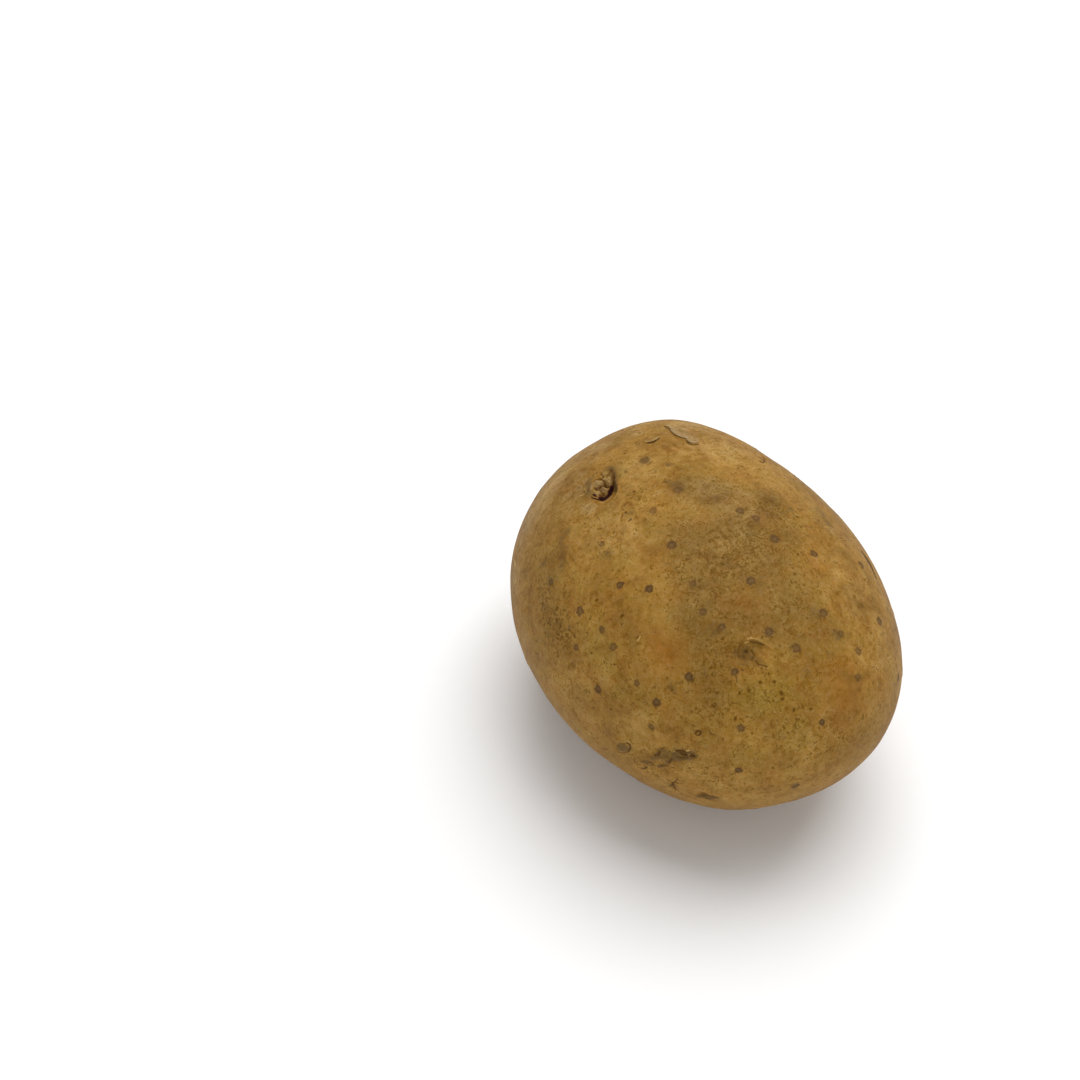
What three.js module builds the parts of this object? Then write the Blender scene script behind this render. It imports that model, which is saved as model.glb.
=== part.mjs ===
// A washed table potato, a single tuber that grew as one piece and lies on a small flat spot.
// Millimetres, +Z up. +X runs from the stem end to the rose end. The origin is on the ground,
// under the middle of the tuber's box. Places on the skin are given as azimuth from +X and
// elevation, in degrees, on the unit sphere that the tuber is stretched from.

import * as THREE from 'three';
import { ImprovedNoise } from 'three/addons/math/ImprovedNoise.js';
import { mergeVertices } from 'three/addons/utils/BufferGeometryUtils.js';

// The tuber before its swellings
const LENGTH = 92;
const WIDTH = 70.6;
const HEIGHT = 63.6;

// What lies against the ground is pressed flat, and the skin rounds into it
const REST_DEPTH = 1.4;
const REST_ROUNDING = 0.5;

// Triangles: the longest edge on plain skin and inside each kind of relief
const PLAIN_EDGE = 4;
const LENTICEL_EDGE = 1.05;
const MARK_EDGE = 0.95;
const STEM_SCAR_EDGE = 0.75;
const EDGE_GROWTH = 1;
const START_SPLITS = 13;
const MOST_PASSES = 5;

// Lenticels, the round breathing pores dotted over the skin
const LENTICEL_COUNT = 84;
const LENTICEL_RADIUS = 0.8;
const LENTICEL_HEIGHT = 0.2;
const LENTICEL_SEED = 11;

// Broad swellings and hollows: the spread is an angle, the height is along the skin's normal
const SWELLINGS = [
  { at: [150, 41], spread: 24, height: 2.5 },
  { at: [-158, 22], spread: 32, height: -0.2 },
  { at: [40, 4], spread: 26, height: -0.2 },
  { at: [-8, -23], spread: 30, height: -1.9 },
  { at: [80, 28], spread: 34, height: -0.3 },
  { at: [-66, -29], spread: 16, height: -0.8 },
  { at: [-175, -35], spread: 28, height: 1.2 },
  { at: [120, -20], spread: 30, height: 1.0 },
  { at: [60, -45], spread: 26, height: -0.9 },
  { at: [-140, -50], spread: 22, height: -0.8 },
];

// Eyes: each brow lies on the side that turn gives, in degrees from north towards west
const EYES = [
  { at: [-27.6, 47], turn: 0, size: 1 },
  { at: [-42, -10], turn: 8, size: 0.62 },
  { at: [24, -20], turn: 70, size: 1.05 },
  { at: [4, -42], turn: 40, size: 0.85 },
  { at: [98, 6], turn: 95, size: 1.15 },
  { at: [148, -24], turn: 110, size: 1 },
  { at: [-104, -30], turn: -100, size: 1.1 },
  { at: [-160, -8], turn: -80, size: 0.9 },
];

// An eye of size 1: the hollow, the brow and the crease under it as arcs round one centre,
// and the buds and pits as bells
const EYE = {
  hollow: { up: -0.4, spreadRight: 2.7, spreadUp: 2, depth: 1.05 },
  arcCentre: { right: 0.6, up: -2.4, facing: 0.15 },
  brow: { radius: 4.4, width: 0.55, halfAngle: 0.45, height: 0.6 },
  crease: { radius: 3.5, width: 0.45, halfAngle: 0.4, height: -0.5 },
  buds: [
    { right: 2, up: -1.1, spread: 1.1, height: 0.6 },
    { right: 0.2, up: 0.9, spread: 0.7, height: 0.45 },
    { right: -0.7, up: -0.2, spread: 0.6, height: -0.45 },
    { right: -1.1, up: -1.2, spread: 0.5, height: -0.45 },
  ],
};

// The pocket where the stem was attached, in a broad dimple, and the cork knobs left in it
const STEM_SCAR = {
  at: [-139.5, 58],
  dimple: { spread: 6.5, depth: 1 },
  pocket: { right: 0.5, halfLength: 3.4, halfWidth: 2.4, depth: 2.8, steep: 0.35, gentle: 0.9 },
  knobs: [
    { right: 0.8, up: -0.3, spread: 1.15, height: 1.9 },
    { right: -1.2, up: -0.6, spread: 1, height: 1.5 },
    { right: -1.3, up: 1.1, spread: 0.75, height: 1.3 },
    { right: 2.3, up: -1.2, spread: 0.75, height: 1.1 },
  ],
};

// Flakes of skin that lift along one edge: half the edge's length, the flake's width, its lift
const FLAKES = [
  { at: [150, 57.5], turn: 192, along: 3.6, across: 3.4, lift: 0.35 },
  { at: [171, 59], turn: 176, along: 2.4, across: 1.6, lift: 0.22 },
  { at: [63.5, 31], turn: 35, along: 4.6, across: 1.5, lift: 0.3 },
  { at: [-128, -14], turn: 150, along: 3, across: 2.4, lift: 0.35 },
];

// Rough, raised patches of scab: half length, half width, height
const SCABS = [
  { at: [-47.6, 10.6], turn: -10, along: 2.1, across: 1.1, height: 0.4 },
  { at: [-52.5, 6.6], turn: 20, along: 1.6, across: 1, height: 0.3 },
  { at: [-57.5, -2.2], turn: 15, along: 1.7, across: 0.9, height: 0.3 },
  { at: [140, 12], turn: 60, along: 2.6, across: 1.5, height: 0.35 },
];

// Healed wounds, a low rim round a sunken disc: half length, half width, height of the rim
const DISCS = [
  { at: [-64.1, 1.2], along: 1.7, across: 1.4, height: 0.28 },
  { at: [-12, 12], along: 0.9, across: 0.8, height: 0.2 },
];

// Short dry cracks and nicks in the skin: half length, half width, depth
const CRACKS = [
  { at: [-50.7, -8], turn: 40, length: 1.4, width: 0.35, depth: 0.35 },
  { at: [-50.7, -8], turn: -50, length: 1.2, width: 0.3, depth: 0.3 },
  { at: [110.3, 54.9], turn: 60, length: 1.3, width: 0.4, depth: 0.4 },
  { at: [-117.3, 65.3], turn: 20, length: 1.1, width: 0.35, depth: 0.3 },
  { at: [-119.9, 54.9], turn: -30, length: 1, width: 0.4, depth: 0.3 },
  { at: [-45, 20], turn: 0, length: 0.8, width: 0.45, depth: 0.35 },
  { at: [-41.2, 20.5], turn: 0, length: 0.7, width: 0.4, depth: 0.3 },
];

// Relief fades out within this many times its mark's reach
const RELIEF_REACH = 4;

const degrees = THREE.MathUtils.degToRad;
const halfAxes = new THREE.Vector3(LENGTH / 2, WIDTH / 2, HEIGHT / 2);
const noise = new ImprovedNoise();

function directionOf([azimuth, elevation]) {
  const flat = Math.cos(degrees(elevation));
  return new THREE.Vector3(
    flat * Math.cos(degrees(azimuth)),
    flat * Math.sin(degrees(azimuth)),
    Math.sin(degrees(elevation)),
  );
}

function ellipsoidPoint(direction) {
  return direction.clone().multiply(halfAxes);
}

function ellipsoidNormal(direction) {
  return direction.clone().divide(halfAxes).normalize();
}

// A spot on the skin with its own flat axes: up points to its turn, right is square to it
function spotOnSkin(at, turn = 0) {
  const direction = directionOf(at);
  const normal = ellipsoidNormal(direction);
  const up = new THREE.Vector3(0, 0, 1).projectOnPlane(normal).normalize();
  up.applyAxisAngle(normal, degrees(turn));
  const right = new THREE.Vector3().crossVectors(up, normal);
  return { centre: ellipsoidPoint(direction), normal, right, up };
}

// How far a point lies from a spot: to its right, towards its up, out from the skin, and in all
function offsetFrom(spot, point) {
  const offset = point.clone().sub(spot.centre);
  return {
    right: offset.dot(spot.right),
    up: offset.dot(spot.up),
    out: offset.dot(spot.normal),
    away: offset.length(),
  };
}

function bell(distance, spread) {
  return Math.exp(-((distance / spread) ** 2));
}

// 1 inside the edge, 0 beyond it, changing over the softness
function inside(distance, edge, softness) {
  return 1 - THREE.MathUtils.smoothstep(distance, edge - softness / 2, edge + softness / 2);
}

function undulation(point) {
  const wide = noise.noise(point.x / 15 + 3.1, point.y / 15 + 7.3, point.z / 15 + 1.7);
  const narrow = noise.noise(point.x / 4.5 + 9.2, point.y / 4.5 + 2.6, point.z / 4.5 + 5.4);
  return 0.32 * wide + 0.09 * narrow;
}

function swelling(direction) {
  let height = 0;
  for (const { towards, spread, height: rise } of swellings) {
    const angle = THREE.MathUtils.radToDeg(direction.angleTo(towards));
    height += rise * bell(angle, spread);
  }
  return height;
}

function bells({ right, up }, places) {
  let height = 0;
  for (const each of places) {
    height += each.height * bell(Math.hypot(right - each.right, up - each.up), each.spread);
  }
  return height;
}

// An eye is a shallow hollow under a curved brow, with buds asleep in it
function eyeRelief(offset, { size }) {
  const right = offset.right / size;
  const up = offset.up / size;
  const { hollow, arcCentre, brow, crease, buds } = EYE;
  const radius = Math.hypot(right - arcCentre.right, up - arcCentre.up);
  const angle = Math.atan2(right - arcCentre.right, up - arcCentre.up) - arcCentre.facing;
  const dip = -hollow.depth * bell(right, hollow.spreadRight) * bell(up - hollow.up, hollow.spreadUp);
  const arc = ({ height, width, halfAngle, ...ridge }) =>
    height * bell(radius - ridge.radius, width) * bell(angle, halfAngle);
  return size * (dip + arc(brow) + arc(crease) + bells({ right, up }, buds));
}

// The pocket's wall is steep on one side and gentle where the knobs grow out of it
function stemScarRelief({ right, up, away }, { dimple, pocket, knobs }) {
  const reach = Math.hypot((right - pocket.right) / pocket.halfLength, up / pocket.halfWidth);
  const wall = up + 0.6 * right > 0 ? pocket.steep : pocket.gentle;
  const sunken = -dimple.depth * bell(away, dimple.spread) - pocket.depth * inside(reach, 1, wall);
  return sunken + bells({ right, up }, knobs);
}

// The skin climbs gently to the wavy lifted edge and drops straight off it
function flakeRelief({ right, up }, { along, across, lift }) {
  const edge = 0.25 * Math.sin(right * 2.1) - 0.12 * right;
  const behindEdge = edge - up;
  const climb = THREE.MathUtils.clamp(1 - behindEdge / across, 0, 1);
  const raised = 1 - inside(behindEdge, 0, 0.3);
  return lift * climb ** 1.5 * raised * inside(Math.abs(right), along, 0.9);
}

function scabRelief({ right, up }, { along, across, height }, point) {
  const reach = Math.hypot(right / along, up / across);
  const crust = 0.6 + 0.9 * noise.noise(point.x * 1.3, point.y * 1.3, point.z * 1.3);
  return height * crust * inside(reach, 1, 0.5);
}

function discRelief({ right, up }, { along, across, height }) {
  const reach = Math.hypot(right / along, up / across);
  return height * bell(reach - 1, 0.28) - 0.5 * height * inside(reach, 0.8, 0.3);
}

function crackRelief({ right, up }, { length, width, depth }) {
  return -depth * bell(up, width) * inside(Math.abs(right), length, 0.7);
}

function lenticelRelief({ away }, { radius }) {
  return LENTICEL_HEIGHT * (inside(away, radius, 0.5) - 0.7 * bell(away, radius * 0.35));
}

// Marks of one kind: their relief, how far each reaches right and up, and its longest edge
function marksOf(places, relief, reachOf, edge) {
  return places.map((shape) => {
    const [reachRight, reachUp] = reachOf(shape);
    return {
      spot: spotOnSkin(shape.at, shape.turn),
      reachRight,
      reachUp,
      relief: (offset, point) => relief(offset, shape, point),
      edge,
    };
  });
}

// How far a point lies beyond the part of the skin that a mark covers
function distanceBeyond(mark, point) {
  const { right, up, out } = offsetFrom(mark.spot, point);
  const beyondRight = Math.max(0, Math.abs(right) - mark.reachRight);
  const beyondUp = Math.max(0, Math.abs(up) - mark.reachUp);
  return Math.hypot(beyondRight, beyondUp, out);
}

// Lenticels lie in even spirals from pole to pole, each shaken out of its place by a seeded draw
function lenticelPlaces() {
  const places = [];
  let state = LENTICEL_SEED;
  const draw = () => {
    state = (state * 16807) % 2147483647;
    return state / 2147483647 - 0.5;
  };
  for (let index = 0; index < LENTICEL_COUNT; index++) {
    const rise = 1 - (2 * index + 1) / LENTICEL_COUNT;
    const azimuth = index * 137.508 + 16 * draw();
    const elevation = THREE.MathUtils.radToDeg(Math.asin(rise)) + 9 * draw();
    places.push({ at: [azimuth, elevation], radius: LENTICEL_RADIUS * (1 + 0.5 * draw()) });
  }
  return places;
}

const swellings = SWELLINGS.map((each) => ({ ...each, towards: directionOf(each.at) }));
const bigMarks = [
  ...marksOf([STEM_SCAR], stemScarRelief, () => [3.8, 2.8], STEM_SCAR_EDGE),
  ...marksOf(EYES, eyeRelief, ({ size }) => [2.6 * size, 2.3 * size], MARK_EDGE),
  ...marksOf(FLAKES, flakeRelief, ({ along }) => [along + 0.2, 0.7], MARK_EDGE),
  ...marksOf(SCABS, scabRelief, ({ along, across }) => [along, across], MARK_EDGE),
  ...marksOf(DISCS, discRelief, ({ along, across }) => [along, across], MARK_EDGE),
  ...marksOf(CRACKS, crackRelief, ({ length, width }) => [length, width], MARK_EDGE),
];
const clearOfMarks = ({ at }) => {
  const centre = ellipsoidPoint(directionOf(at));
  return bigMarks.every((mark) => distanceBeyond(mark, centre) > 2 * LENTICEL_RADIUS);
};
const lenticelReach = ({ radius }) => [radius, radius];
const lenticels = marksOf(
  lenticelPlaces().filter(clearOfMarks),
  lenticelRelief,
  lenticelReach,
  LENTICEL_EDGE,
);
const marks = [...bigMarks, ...lenticels];

// The longest edge wanted at a place: short in a mark, growing with distance from it
function wantedEdge(direction) {
  const point = ellipsoidPoint(direction);
  let wanted = PLAIN_EDGE;
  for (const mark of marks) {
    wanted = Math.min(wanted, mark.edge + EDGE_GROWTH * distanceBeyond(mark, point));
  }
  return wanted;
}

// Where the skin lies in a direction from the middle of the tuber
function skinPoint(direction) {
  const point = ellipsoidPoint(direction);
  let height = swelling(direction) + undulation(point);
  for (const mark of marks) {
    const offset = offsetFrom(mark.spot, point);
    if (offset.away < RELIEF_REACH * mark.reachRight) height += mark.relief(offset, point);
  }
  return point.clone().addScaledVector(ellipsoidNormal(direction), height);
}

// Presses what is below the ground level up to it, with a rounded edge
function restOnGround(point) {
  const above = point.z + HEIGHT / 2 - REST_DEPTH;
  if (above > REST_ROUNDING) point.z = above;
  else if (above > -REST_ROUNDING) point.z = (above + REST_ROUNDING) ** 2 / (4 * REST_ROUNDING);
  else point.z = 0;
  return point;
}

// An even net of triangles over the unit sphere
function startingNet() {
  const sphere = new THREE.IcosahedronGeometry(1, START_SPLITS);
  sphere.deleteAttribute('normal');
  sphere.deleteAttribute('uv');
  const merged = mergeVertices(sphere, 1e-4);
  const position = merged.getAttribute('position');
  const index = merged.getIndex().array;
  const directions = [];
  for (let i = 0; i < position.count; i++) {
    directions.push(new THREE.Vector3().fromBufferAttribute(position, i).normalize());
  }
  const triangles = [];
  for (let i = 0; i < index.length; i += 3) triangles.push([index[i], index[i + 1], index[i + 2]]);
  return { directions, triangles };
}

// Halves each edge that is too long for its place, and splits its two triangles to match
function splitLongEdges({ directions, triangles }) {
  const middles = new Map();
  const length = (a, b) => ellipsoidPoint(directions[a]).distanceTo(ellipsoidPoint(directions[b]));
  const middleOf = (a, b) => {
    const key = a < b ? `${a} ${b}` : `${b} ${a}`;
    if (!middles.has(key)) {
      const middle = directions[a].clone().add(directions[b]).normalize();
      const tooLong = length(a, b) > wantedEdge(middle);
      middles.set(key, tooLong ? directions.push(middle) - 1 : null);
    }
    return middles.get(key);
  };
  const split = [];
  for (const corners of triangles) {
    const halves = corners.map((corner, i) => middleOf(corner, corners[(i + 1) % 3]));
    const count = halves.filter((half) => half !== null).length;
    if (count === 0) {
      split.push(corners);
      continue;
    }
    // Turned so that the last edge is whole if any is, and the first is halved if only one is
    let turn = 0;
    if (count === 1) turn = halves.findIndex((half) => half !== null);
    if (count === 2) turn = (halves.indexOf(null) + 1) % 3;
    const [a, b, c] = [0, 1, 2].map((i) => corners[(i + turn) % 3]);
    const [ab, bc, ca] = [0, 1, 2].map((i) => halves[(i + turn) % 3]);
    if (count === 1) split.push([a, ab, c], [ab, b, c]);
    if (count === 2) {
      split.push([ab, b, bc]);
      if (length(ab, c) < length(a, bc)) split.push([a, ab, c], [ab, bc, c]);
      else split.push([a, ab, bc], [a, bc, c]);
    }
    if (count === 3) split.push([a, ab, ca], [ab, b, bc], [ca, bc, c], [ab, bc, ca]);
  }
  return { directions, triangles: split };
}

function tuberGeometry() {
  let net = startingNet();
  for (let pass = 0; pass < MOST_PASSES; pass++) {
    const before = net.triangles.length;
    net = splitLongEdges(net);
    if (net.triangles.length === before) break;
  }
  const points = net.directions.map((direction) => restOnGround(skinPoint(direction)));
  const geometry = new THREE.BufferGeometry().setFromPoints(points);
  geometry.setIndex(net.triangles.flat());
  geometry.computeBoundingBox();
  const middle = geometry.boundingBox.getCenter(new THREE.Vector3());
  geometry.translate(-middle.x, -middle.y, 0);
  geometry.computeVertexNormals();
  return geometry;
}

const skinMaterial = new THREE.MeshStandardMaterial({ color: 0x9c7436, roughness: 0.72, metalness: 0 });
const tuber = new THREE.Mesh(tuberGeometry(), skinMaterial);
tuber.name = 'tuber';

const group = new THREE.Group();
group.add(tuber);
export default group;
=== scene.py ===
import math
import random

import bmesh
import bpy
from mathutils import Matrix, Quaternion, Vector, geometry, noise
from mathutils.bvhtree import BVHTree
from mathutils.kdtree import KDTree


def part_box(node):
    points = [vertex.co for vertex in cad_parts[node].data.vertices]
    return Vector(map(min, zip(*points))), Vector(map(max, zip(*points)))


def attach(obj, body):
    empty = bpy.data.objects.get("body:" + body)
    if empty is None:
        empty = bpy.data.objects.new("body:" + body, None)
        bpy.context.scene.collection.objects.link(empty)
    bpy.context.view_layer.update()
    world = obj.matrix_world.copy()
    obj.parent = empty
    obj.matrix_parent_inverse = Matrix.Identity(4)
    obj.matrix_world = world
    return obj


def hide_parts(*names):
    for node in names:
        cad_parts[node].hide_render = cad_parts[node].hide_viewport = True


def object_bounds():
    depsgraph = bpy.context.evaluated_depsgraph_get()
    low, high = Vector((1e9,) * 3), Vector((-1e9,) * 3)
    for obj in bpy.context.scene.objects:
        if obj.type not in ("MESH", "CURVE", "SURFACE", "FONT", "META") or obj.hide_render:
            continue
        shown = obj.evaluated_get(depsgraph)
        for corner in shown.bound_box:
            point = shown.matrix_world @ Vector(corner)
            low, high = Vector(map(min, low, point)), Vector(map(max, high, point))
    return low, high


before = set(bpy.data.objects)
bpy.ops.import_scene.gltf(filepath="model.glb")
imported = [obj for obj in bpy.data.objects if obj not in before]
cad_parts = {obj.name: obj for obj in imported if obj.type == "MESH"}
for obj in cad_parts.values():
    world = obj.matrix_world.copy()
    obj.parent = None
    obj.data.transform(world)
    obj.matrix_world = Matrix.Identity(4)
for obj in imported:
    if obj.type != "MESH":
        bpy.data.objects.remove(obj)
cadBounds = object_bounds()
mm = 0.001

# the photograph's view; pixels are counted from its top left corner
photo = {
    "pixels": 1080,              # on each side
    "azimuth": 58,               # degrees round the tuber, 0 looks along +Y
    "elevation": 45,             # degrees above the table
    "lens": 60,                  # mm
    "sensor": 36,                # mm
    "middle": (699.9, 612.6),    # the pixel that shows the middle of the tuber's box
    "depth": 0.3619,             # metres to that middle, along the view
    "clip": 0.02,                # metres
    "grazing": 0.12,             # cosine past which the photograph shows too little
}

# the tuber's form, with the values that its solid is made from
form = {
    "middle": Vector((0.619, -0.095, 30.4)) * mm,
    "half": Vector((46, 35.3, 31.8)) * mm,
    # broad swellings: azimuth and elevation, spread in degrees, height in mm
    "swellings": [
        (150, 41, 24, 2.5), (-158, 22, 32, -0.2), (40, 4, 26, -0.2), (-8, -23, 30, -1.9),
        (80, 28, 34, -0.3), (-66, -29, 16, -0.8), (-175, -35, 28, 1.2), (120, -20, 30, 1.0),
        (60, -45, 26, -0.9), (-140, -50, 22, -0.8),
    ],
    # lesser waves over the whole skin: length and height in mm
    "waves": [(13, 0.22), (5.5, 0.1), (2.2, 0.035)],
    "wavesFrom": Vector((3, 7, 1)),    # where in the noise they are taken
    "inset": 0.06,               # mm, that keeps the finest relief inside the solid's box
    "rounding": 0.5,             # mm, at the edge of the flat spot
    # eyes: azimuth, elevation, turn of the brow from north towards west, size
    "eyes": [
        (-27.6, 47, 0, 1), (-42, -10, 8, 0.62), (24, -20, 70, 0.75), (4, -42, 40, 0.85),
        (98, 6, 95, 1.15), (148, -24, 110, 1), (-104, -30, -100, 1.1), (-160, -8, -80, 0.9),
    ],
    "scar": (-139.5, 58),        # where the stem was
}


def makeCamera():
    low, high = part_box("tuber")
    azimuth = math.radians(photo["azimuth"])
    elevation = math.radians(photo["elevation"])
    back = Vector((math.sin(azimuth) * math.cos(elevation),
                   -math.cos(azimuth) * math.cos(elevation),
                   math.sin(elevation)))
    camera = bpy.data.objects.new("camera", bpy.data.cameras.new("camera"))
    camera.data.lens = photo["lens"]
    camera.data.sensor_width = photo["sensor"]
    camera.data.clip_start = photo["clip"]
    camera.rotation_mode = "QUATERNION"
    camera.rotation_quaternion = back.to_track_quat("Z", "Y")
    toMiddle = camera.rotation_quaternion @ pixelRay(photo["middle"]) * photo["depth"]
    camera.location = (low + high) / 2 - toMiddle
    bpy.context.scene.collection.objects.link(camera)
    bpy.context.scene.camera = camera
    return camera


def pixelRay(pixel):
    # a pixel's direction as the camera sees it, one unit deep
    focal = photo["pixels"] * photo["lens"] / photo["sensor"]
    half = photo["pixels"] / 2
    return Vector(((pixel[0] - half) / focal, (half - pixel[1]) / focal, -1))


def bell(distance, width):
    return math.exp(-(distance / width) ** 2)


def within(distance, edge, softness):
    # 1 inside the edge, 0 past it
    t = min(max((edge + softness / 2 - distance) / softness, 0), 1)
    return t * t * (3 - 2 * t)


# Marks are laid out on the plain ellipsoid round its own middle, and the skin is raised from it
# to the tuber's form last

def onEllipsoid(azimuth, elevation):
    azimuth, elevation = math.radians(azimuth), math.radians(elevation)
    return form["half"] * Vector((math.cos(elevation) * math.cos(azimuth),
                                  math.cos(elevation) * math.sin(azimuth),
                                  math.sin(elevation)))


def unitOf(place):
    return Vector(a / b for a, b in zip(place, form["half"])).normalized()


def toEllipsoid(place):
    return form["half"] * unitOf(place)


def normalAt(place):
    return Vector(a / b ** 2 for a, b in zip(place, form["half"])).normalized()


def axesAt(place, turn=0):
    # the skin's flat axes: right, and up, which points to the turn
    normal = normalAt(place)
    up = Vector((0, 0, 1))
    up = Quaternion(normal, math.radians(turn)) @ (up - normal * up.dot(normal)).normalized()
    return up.cross(normal), up


swellings = [(unitOf(onEllipsoid(azimuth, elevation)), math.radians(spread), rise)
             for azimuth, elevation, spread, rise in form["swellings"]]


def swellingAt(place):
    # the form's height over the ellipsoid, in mm, before its marks
    unit = unitOf(place)
    height = -form["inset"]
    for middle, spread, rise in swellings:
        height += rise * bell(unit.angle(middle, 0), spread)
    for length, rise in form["waves"]:
        height += rise * noise.noise(place / (length * mm) + form["wavesFrom"])
    return height


def rest(place):
    # presses what is below the table up to it, with a rounded edge
    above, rounding = place.z - cadBounds[0][2], form["rounding"] * mm
    if above < rounding:
        place.z = cadBounds[0][2] + max(above + rounding, 0) ** 2 / (4 * rounding)
    return place


def raised(place, relief=0):
    height = swellingAt(place) + relief
    return rest(form["middle"] + place + normalAt(place) * height * mm)


def plainNet(subdivisions):
    mesh = bmesh.new()
    bmesh.ops.create_icosphere(mesh, subdivisions=subdivisions, radius=1)
    for vertex in mesh.verts:
        vertex.co = form["half"] * vertex.co.normalized()
    return mesh


# large relief of an eye of size 1 and of the stem scar, as in the solid
eyeRelief = {
    "hollow": (-0.4, 2.7, 2, -0.95),     # up, spread to the right, spread upwards, height
    "arc": (0.6, -2.4, 0.15),            # its middle to the right and up, and where it faces
    "brow": (4.4, 0.6, 0.45, 0.4),       # radius, width, half angle, height
    "crease": (3.5, 0.45, 0.4, -0.35),
    "buds": [(2, -1.1, 1.1, 0.5), (0.2, 0.9, 0.7, 0.3), (-0.7, -0.2, 0.6, -0.35),
             (-1.1, -1.2, 0.5, -0.35)],
    "reach": 8,                          # how far any of it is felt
}
scarRelief = {
    "dimple": (6.5, 1),                  # spread, depth
    "pocket": (0.5, 3.4, 2.4, 2.2),      # to the right, half length, half width, depth
    "steep": 0.4,                        # softness of the wall away from the foot, and of the rest
    "gentle": 0.9,
    "lean": 0.6,                         # how far the two walls' border is turned
    "reach": 16,
}


def eyeHeight(right, up):
    middleRight, middleUp, facing = eyeRelief["arc"]
    radius = math.hypot(right - middleRight, up - middleUp)
    angle = math.atan2(right - middleRight, up - middleUp) - facing
    low, spreadRight, spreadUp, depth = eyeRelief["hollow"]
    height = depth * bell(right, spreadRight) * bell(up - low, spreadUp)
    for arcRadius, width, halfAngle, rise in (eyeRelief["brow"], eyeRelief["crease"]):
        height += rise * bell(radius - arcRadius, width) * bell(angle, halfAngle)
    for budRight, budUp, spread, rise in eyeRelief["buds"]:
        height += rise * bell(math.hypot(right - budRight, up - budUp), spread)
    return height


def scarHeight(right, up):
    middle, halfLength, halfWidth, depth = scarRelief["pocket"]
    reach = math.hypot((right - middle) / halfLength, up / halfWidth)
    wall = scarRelief["steep" if up + scarRelief["lean"] * right > 0 else "gentle"]
    spread, dip = scarRelief["dimple"]
    return -dip * bell(math.hypot(right, up), spread) - depth * within(reach, 1, wall)


def treeOf(places):
    found = KDTree(len(places))
    for index, place in enumerate(places):
        found.insert(place, index)
    found.balance()
    return found


def largeRelief(places, near):
    # the height of eyes and scar at each place, in mm
    relief = [0.0] * len(places)
    spots = [(eyeHeight, *eye, eyeRelief["reach"]) for eye in form["eyes"]]
    spots.append((scarHeight, *form["scar"], 0, 1, scarRelief["reach"]))
    for height, azimuth, elevation, turn, size, reach in spots:
        middle = onEllipsoid(azimuth, elevation)
        right, up = axesAt(middle, turn)
        for _, index, _ in near.find_range(middle, reach * size * mm):
            offset = (places[index] - middle) / (size * mm)
            relief[index] += size * height(offset.dot(right), offset.dot(up))
    return relief


def splitNear(mesh, places, reach, longest):
    # halves the edges near the places that are longer than wanted
    near = treeOf(places)
    for _ in range(skin["halvings"]):
        chosen = []
        for edge in mesh.edges:
            start, end = (vertex.co for vertex in edge.verts)
            if (start - end).length > longest * mm and near.find((start + end) / 2)[2] < reach * mm:
                chosen.append(edge)
        if not chosen:
            return
        bmesh.ops.subdivide_edges(mesh, edges=chosen, cuts=1, use_grid_fill=True)
        bmesh.ops.triangulate(mesh, faces=[face for face in mesh.faces if len(face.verts) > 3])
        for vertex in mesh.verts:
            vertex.co = toEllipsoid(vertex.co)
        bmesh.ops.dissolve_degenerate(mesh, dist=skin["sliver"] * mm, edges=mesh.edges)
        bmesh.ops.triangulate(mesh, faces=[face for face in mesh.faces if len(face.verts) > 3])


def formTree(net):
    # the net on the form, to cast pixels on, and its corners on the ellipsoid
    net.verts.index_update()
    plain = [vertex.co.copy() for vertex in net.verts]
    faces = [tuple(vertex.index for vertex in face.verts) for face in net.faces]
    onForm = [raised(*spot) for spot in zip(plain, largeRelief(plain, treeOf(plain)))]
    return BVHTree.FromPolygons(onForm, faces), plain, onForm, faces


skin = {
    "subdivisions": 7,    # of the icosphere, 81 920 triangles before the marks
    "halvings": 3,        # at most, of an edge near a mark
    "sliver": 0.004,      # mm, the thinnest triangle that is kept
    # how far round the scar and the front eye, a pore and a drawn mark, and the longest edge, in mm
    "scar": (5, 0.35),
    "pore": (1.2, 0.4),
    "mark": (0.55, 0.24),
    "stroke": 0.12,       # mm between the places that a mark's line is painted from
    "spread": 2.2,        # how far paint is felt, in half widths or radii
    "crust": 0.6,         # a crust's mean height, and the size in mm and share of its lumps
    "lumps": [(0.8, 0.9), (0.4, 0.6)],
}

camera = makeCamera()
net = plainNet(skin["subdivisions"])
splitNear(net, [onEllipsoid(*form["scar"]), onEllipsoid(*form["eyes"][0][:2])], *skin["scar"])
tree, plainPlaces, formPlaces, treeFaces = formTree(net)
print("camera and form ready")


def seen(pixel):
    # the place on the ellipsoid of what a pixel shows, or the nearest to it past the outline
    ray = camera.rotation_quaternion @ pixelRay(pixel)
    place, _, face, _ = tree.ray_cast(camera.location, ray)
    if place is None:
        place, _, face, _ = tree.find_nearest(camera.location + ray * photo["depth"])
    corners = treeFaces[face]
    onPlain = geometry.barycentric_transform(place, *(formPlaces[i] for i in corners),
                                             *(plainPlaces[i] for i in corners))
    return toEllipsoid(onPlain)


def inPhoto(place):
    # whether the photograph shows a place well enough to copy its marks
    towards = (camera.location - form["middle"] - place).normalized()
    return normalAt(place).dot(towards) > photo["grazing"]


def besides(middle, turn, size, points):
    # places given in mm to the right and up of a middle
    right, up = axesAt(middle, turn)
    return [toEllipsoid(middle + (right * x + up * y) * size * mm) for x, y in points]


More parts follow.
